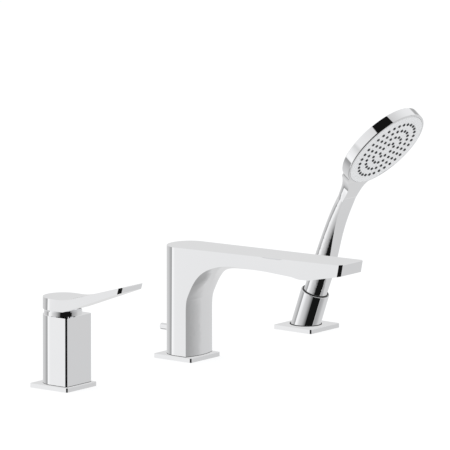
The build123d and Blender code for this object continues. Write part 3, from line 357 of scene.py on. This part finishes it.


# Black ring of painted shade in the groove round the spray face, set by the plate's own edge
faceShadeRing = {  # metres
    "tilt": 38.5,  # degrees, how far the spray face looks down
    "groove": 0.0004,
    "depth": 0.0002,  # below the plate's rim
    "height": 0.0005,
    "rim": 0.99,  # share of the plate's radius beyond which a point lies on its rim
    "points": 144,
}
faceTilt = math.radians(faceShadeRing["tilt"])
faceOut = np.array([0.0, -math.cos(faceTilt), -math.sin(faceTilt)])
faceUp = np.array([0.0, -math.sin(faceTilt), math.cos(faceTilt)])
faceSide = np.array([1.0, 0.0, 0.0])
plateMesh = frame["nodes"]["spray_plate"].data
platePoints = np.empty(3 * len(plateMesh.vertices))
plateMesh.vertices.foreach_get("co", platePoints)
platePoints = platePoints.reshape(-1, 3)
plateMiddle = np.array([(platePoints @ way).min() + (platePoints @ way).max() for way in (faceSide, faceUp)]) / 2
plateAway = np.hypot(platePoints @ faceSide - plateMiddle[0], platePoints @ faceUp - plateMiddle[1])
plateEdge = plateAway.max()
plateTop = (platePoints @ faceOut)[plateAway > faceShadeRing["rim"] * plateEdge].max() - faceShadeRing["depth"]
around = np.linspace(0, 2 * math.pi, faceShadeRing["points"], endpoint=False)
circle = np.cos(around)[:, None] * faceSide + np.sin(around)[:, None] * faceUp
middle = plateMiddle[0] * faceSide + plateMiddle[1] * faceUp
ringCorners = [
    (0.0, 0.0),
    (faceShadeRing["groove"], 0.0),
    (faceShadeRing["groove"], -faceShadeRing["height"]),
    (0.0, -faceShadeRing["height"]),
]
ringPoints = np.stack(
    [middle + (plateEdge + away) * circle + (plateTop + sunk) * faceOut for away, sunk in ringCorners], axis=1
).reshape(-1, 3)
ringIndex = np.arange(len(ringPoints)).reshape(len(around), len(ringCorners))
ringAhead = np.roll(ringIndex, -1, axis=0)
ringFaces = np.stack(
    [ringIndex, np.roll(ringIndex, -1, axis=1), np.roll(ringAhead, -1, axis=1), ringAhead], axis=-1
).reshape(-1, 4)
# the ring's black rubber finish paints the shade in the groove round the spray plate
dressed(shownMesh("faceShadeRing", ringPoints, ringFaces), "hand_shower", "black_rubber")
print("seals made")


# The diverter's spring as a coil in the room of the CAD's plain sleeve.
coil = {  # metres
    "wire": 0.00074,  # radius
    "clear": 0.0001,  # play to the sleeve's outline
    "turns": 4.2,
    "points": 240,  # along the wire
    "around": 12,  # round the wire
    "kept": 0.485,  # share of its length when the knob is pulled right out
}
coilLow, coilHigh = (np.array(corner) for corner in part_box("diverter_spring"))
coilRadius = (coilHigh[0] - coilLow[0]) / 2 - coil["wire"] - coil["clear"]
coilEnd = coil["wire"] + coil["clear"]
coilRun = np.linspace(0, 1, coil["points"])
coilTurn = 2 * math.pi * coil["turns"] * coilRun
coilOut = np.stack([np.cos(coilTurn), np.zeros(coil["points"]), np.sin(coilTurn)], axis=-1)
coilLine = coilRadius * coilOut
coilLine[:, 1] = coilRun * (coilHigh[1] - coilLow[1] - 2 * coilEnd)
coilAlong = np.gradient(coilLine, axis=0)
coilAlong = coilAlong / np.linalg.norm(coilAlong, axis=1, keepdims=True)
coilUp = np.cross(coilAlong, coilOut)
coilLine = coilLine + np.array([
    (coilLow[0] + coilHigh[0]) / 2,
    coilLow[1] + coilEnd,
    (coilLow[2] + coilHigh[2]) / 2,
])
wireTurn = np.linspace(0, 2 * math.pi, coil["around"], endpoint=False)
wireOut = np.cos(wireTurn)[None, :, None] * coilOut[:, None]
wireRound = wireOut + np.sin(wireTurn)[None, :, None] * coilUp[:, None]
coilPoints = (coilLine[:, None] + coil["wire"] * wireRound).reshape(-1, 3)
coilIndex = np.arange(len(coilPoints)).reshape(coil["points"], coil["around"])
coilBeside = np.roll(coilIndex, -1, axis=1)
coilSides = np.stack([coilIndex[:-1], coilBeside[:-1], coilBeside[1:], coilIndex[1:]], axis=-1).reshape(-1, 4)
near = np.arange(coil["around"] // 2 - 1)
far = coil["around"] - 1 - near
capQuads = np.stack([near, near + 1, far - 1, far], axis=-1)
coilFaces = np.concatenate([coilSides, coilIndex[0][capQuads][:, ::-1], coilIndex[-1][capQuads]])
diverterCoil = shownMesh("diverterCoil", coilPoints, coilFaces)
dressed(diverterCoil, "fixed", "stainless_steel")
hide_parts("diverter_spring")
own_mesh(diverterCoil)
print("spring coil made")


# The plating mirrors the room and the lever alone: the photograph shows no unit in another, and nothing of
# what is under the deck
for thing in bpy.data.objects:
    if thing.type == "MESH":
        thing.visible_glossy = thing.name == skins["nodes"]["lever_handle"]


# Studio: floor, reflected room, light
studio = {
    "floorRadius": 3.0,
    "floorDrop": 0.0002,  # below the plates, which stand on the deck
    "floorPoints": 9,  # along each side
    "floorGlow": 0.80,  # what the floor gives by itself, the rest is lit and keeps the shadow
    "floorColour": "8F9092",
    "roomRadius": 40.0,
    "cameraAzimuth": -51.66,  # degrees from the front, as the photograph was taken
    "cameraElevation": 10.6,
    "worldLevel": 0.82,  # for what lights, against 1 for what is seen
    "lampPower": 11.0,
    "lampSize": 1.6,
    "lampPlace": (-1.3, -0.9, 2.0),
    "roomRows": 49,  # points from pole to pole
    "roomColumns": 97,  # points round
}

# Floor: flat square grid just under the plates
across = np.linspace(-studio["floorRadius"], studio["floorRadius"], studio["floorPoints"])
floorX, floorY = np.meshgrid(across, across)
floorPoints = np.stack([floorX, floorY, np.full_like(floorX, -studio["floorDrop"])], axis=-1).reshape(-1, 3)
floor = shownMesh("studioFloor", floorPoints, gridFaces(studio["floorPoints"], studio["floorPoints"]))
floor.visible_glossy = False  # the plating shows the room and its cards, as it did for the photograph
floorMaterial = bpy.data.materials.new("paintedFloor")
floorMaterial.use_nodes = True
floorTree = floorMaterial.node_tree
floorTree.nodes.clear()
floorPaint = addNode(floorTree, "ShaderNodeBsdfDiffuse", {"Color": linearColour(studio["floorColour"])})
floorGlow = addNode(floorTree, "ShaderNodeEmission", {"Strength": studio["floorGlow"]})
floorSum = addNode(floorTree, "ShaderNodeAddShader", links={"0": floorPaint.outputs[0], "1": floorGlow.outputs[0]})
addNode(floorTree, "ShaderNodeOutputMaterial", links={"Surface": floorSum.outputs[0]})
floor.data.materials.append(floorMaterial)

# Room that the plating reflects: pale walls with a black card and grey cards, in four rows from above to
# under the object. Each pair is an angle round the object, in degrees from the camera's direction, and the
# wall's level there.
cards = {
    "above": (
        (-180, 0.74), (-133, 0.72), (-99, 0.80), (-90, 0.92), (-60, 0.86), (-40, 0.80), (-29.5, 0.74),
        (-29, 0.008), (52, 0.008), (52.5, 0.62), (75, 0.66), (103, 0.72), (135, 0.85), (152, 0.88),
        (155, 0.42), (168, 0.40), (171, 0.74), (180, 0.74),
    ),
    "level": (
        (-180, 0.74), (-150, 0.66), (-133, 0.62), (-120, 0.55), (-110, 0.42), (-103, 0.34), (-100, 0.36),
        (-98.5, 0.92), (-92, 1.0), (-84, 0.92), (-77, 0.875), (-67, 0.70), (-57, 0.62), (-47, 0.55),
        (-37, 0.42), (-27, 0.25), (-18.5, 0.12), (-18, 0.008), (52, 0.008), (55, 0.30), (62, 0.36),
        (72, 0.42), (88, 0.52), (103, 0.645), (124, 0.66), (150, 0.68), (180, 0.74),
    ),
    "below": (
        (-180, 0.64), (-133, 0.62), (-128, 0.50), (-106, 0.48), (-99, 0.46), (-98, 0.90), (-90, 0.98),
        (-77, 0.86), (-60, 0.68), (-45, 0.52), (-30, 0.32), (-19, 0.10), (-18, 0.008), (52, 0.008),
        (52.5, 0.50), (54, 0.70), (57, 0.40), (62, 0.36), (72, 0.40), (88, 0.46), (103, 0.56),
        (111, 0.61), (121, 0.66), (136, 0.67), (150, 0.66), (180, 0.66),
    ),
    "under": (
        (-180, 0.45), (-99, 0.40), (-98, 0.80), (-45, 0.50), (-18, 0.008), (52, 0.008), (53, 0.33),
        (90, 0.36), (140, 0.40), (180, 0.45),
    ),
    "levelToAbove": (0.0, 0.1),  # the direction's rise at which one row of cards passes into the next
    "belowToLevel": (-0.60, -0.54),
    "underToBelow": (-0.84, -0.72),
}
turns = np.radians(np.linspace(-180, 180, studio["roomColumns"]))
rises = np.radians(np.linspace(-90, 90, studio["roomRows"]))
turnGrid, riseGrid = np.meshgrid(turns, rises)
roomPoints = studio["roomRadius"] * np.stack(
    [np.cos(riseGrid) * np.cos(turnGrid), np.cos(riseGrid) * np.sin(turnGrid), np.sin(riseGrid)], axis=-1
).reshape(-1, 3)
room = shownMesh("studioRoom", roomPoints, gridFaces(studio["roomRows"], studio["roomColumns"]))
for kind in ("visible_camera", "visible_diffuse", "visible_shadow", "visible_volume_scatter"):
    setattr(room, kind, False)
roomMaterial = bpy.data.materials.new("paintedRoomWalls")
roomMaterial.use_nodes = True
roomMaterial.cycles.emission_sampling = "NONE"
roomTree = roomMaterial.node_tree
roomTree.nodes.clear()
roomPlace = addNode(roomTree, "ShaderNodeTexCoord")
cameraTurn = math.radians(studio["cameraAzimuth"] - 90)
roomTurned = addNode(
    roomTree, "ShaderNodeMapping", {"Rotation": (0.0, 0.0, -cameraTurn)}, {"Vector": roomPlace.outputs["Object"]}
)
roomParts = addNode(roomTree, "ShaderNodeSeparateXYZ", links={"Vector": roomTurned.outputs["Vector"]})
roomAngle = addNode(
    roomTree, "ShaderNodeMath", {"operation": "ARCTAN2"},
    {"0": roomParts.outputs["Y"], "1": roomParts.outputs["X"]},
)
roomShare = addNode(
    roomTree, "ShaderNodeMapRange",
    {"From Min": -math.pi, "From Max": math.pi, "To Min": 0.0, "To Max": 1.0}, {"Value": roomAngle.outputs[0]},
)
roomRows = {}
for row in ("above", "level", "below", "under"):
    roomRows[row] = addNode(roomTree, "ShaderNodeValToRGB", links={"Fac": roomShare.outputs["Result"]})
    setStops(roomRows[row], [((angle + 180) / 360, (level, level, level, 1.0)) for angle, level in cards[row]])
roomWay = addNode(
    roomTree, "ShaderNodeVectorMath", {"operation": "NORMALIZE"}, {"0": roomPlace.outputs["Object"]}
)
roomRise = addNode(roomTree, "ShaderNodeSeparateXYZ", links={"Vector": roomWay.outputs["Vector"]})
roomColour = roomRows["under"].outputs["Color"]
for step, row in (("underToBelow", "below"), ("belowToLevel", "level"), ("levelToAbove", "above")):
    low, high = cards[step]
    passed = addNode(
        roomTree, "ShaderNodeMapRange", {"From Min": low, "From Max": high}, {"Value": roomRise.outputs["Z"]}
    )
    mixed = addNode(
        roomTree, "ShaderNodeMix", {"data_type": "RGBA"},
        {"0": passed.outputs["Result"], "6": roomColour, "7": roomRows[row].outputs["Color"]},
    )
    roomColour = mixed.outputs[2]
roomGlow = addNode(roomTree, "ShaderNodeEmission", {"Strength": 1.0}, {"Color": roomColour})
addNode(roomTree, "ShaderNodeOutputMaterial", links={"Surface": roomGlow.outputs[0]})
room.data.materials.append(roomMaterial)

# Plain white round everything for what is seen, a little lower for what lights
world = bpy.data.worlds.new("whiteStudio")
world.use_nodes = True
bpy.context.scene.world = world
worldTree = world.node_tree
worldTree.nodes.clear()
worldPath = addNode(worldTree, "ShaderNodeLightPath")
worldSeen = addNode(
    worldTree, "ShaderNodeMath", {"operation": "MAXIMUM"},
    {"0": worldPath.outputs["Is Camera Ray"], "1": worldPath.outputs["Is Glossy Ray"]},
)
worldClear = addNode(
    worldTree, "ShaderNodeMath", {"operation": "MAXIMUM"},
    {"0": worldSeen.outputs[0], "1": worldPath.outputs["Is Transmission Ray"]},
)
worldLevel = addNode(
    worldTree, "ShaderNodeMapRange",
    {"To Min": studio["worldLevel"], "To Max": 1.0}, {"Value": worldClear.outputs[0]},
)
worldGlow = addNode(
    worldTree, "ShaderNodeBackground", {"Color": (1.0, 1.0, 1.0, 1.0)}, {"Strength": worldLevel.outputs["Result"]}
)
addNode(worldTree, "ShaderNodeOutputWorld", links={"Surface": worldGlow.outputs[0]})

lampData = bpy.data.lights.new("softbox", "AREA")
lampData.shape = "SQUARE"
lampData.size = studio["lampSize"]
lampData.energy = studio["lampPower"]
lamp = bpy.data.objects.new("softbox", lampData)
bpy.context.scene.collection.objects.link(lamp)
lampPlace = Vector(studio["lampPlace"])
lamp.matrix_world = Matrix.Translation(lampPlace) @ lampPlace.to_track_quat("Z", "Y").to_matrix().to_4x4()
lamp.visible_glossy = False
print("studio set")


# Camera
view = {
    "lens": 1600.0,  # millimetres: the photograph shows next to no perspective
    "sensor": 36,
    "clipStart": 1.0,
    "clipEnd": 100.0,
    "width": 0.4732,  # metres across the photograph at the object
    "right": 0.04001,  # where the photograph's middle lies, along the camera's own right and up
    "up": 0.1385,
}
turn = math.radians(studio["cameraAzimuth"])
rise = math.radians(studio["cameraElevation"])
rightWay = Vector((math.cos(turn), math.sin(turn), 0))
backWay = Vector((math.sin(turn) * math.cos(rise), -math.cos(turn) * math.cos(rise), math.sin(rise)))
upWay = backWay.cross(rightWay)
distance = view["width"] * view["lens"] / view["sensor"]
cameraData = bpy.data.cameras.new("photoCamera")
cameraData.lens = view["lens"]
cameraData.sensor_width = view["sensor"]
cameraData.clip_start = view["clipStart"]
cameraData.clip_end = view["clipEnd"]
camera = bpy.data.objects.new("photoCamera", cameraData)
bpy.context.scene.collection.objects.link(camera)
place = rightWay * view["right"] + upWay * view["up"] + backWay * distance
camera.matrix_world = Matrix.Translation(place) @ Matrix((rightWay, upWay, backWay)).transposed().to_4x4()
bpy.context.scene.camera = camera
bpy.context.scene.view_settings.view_transform = "Standard"
print("camera set")
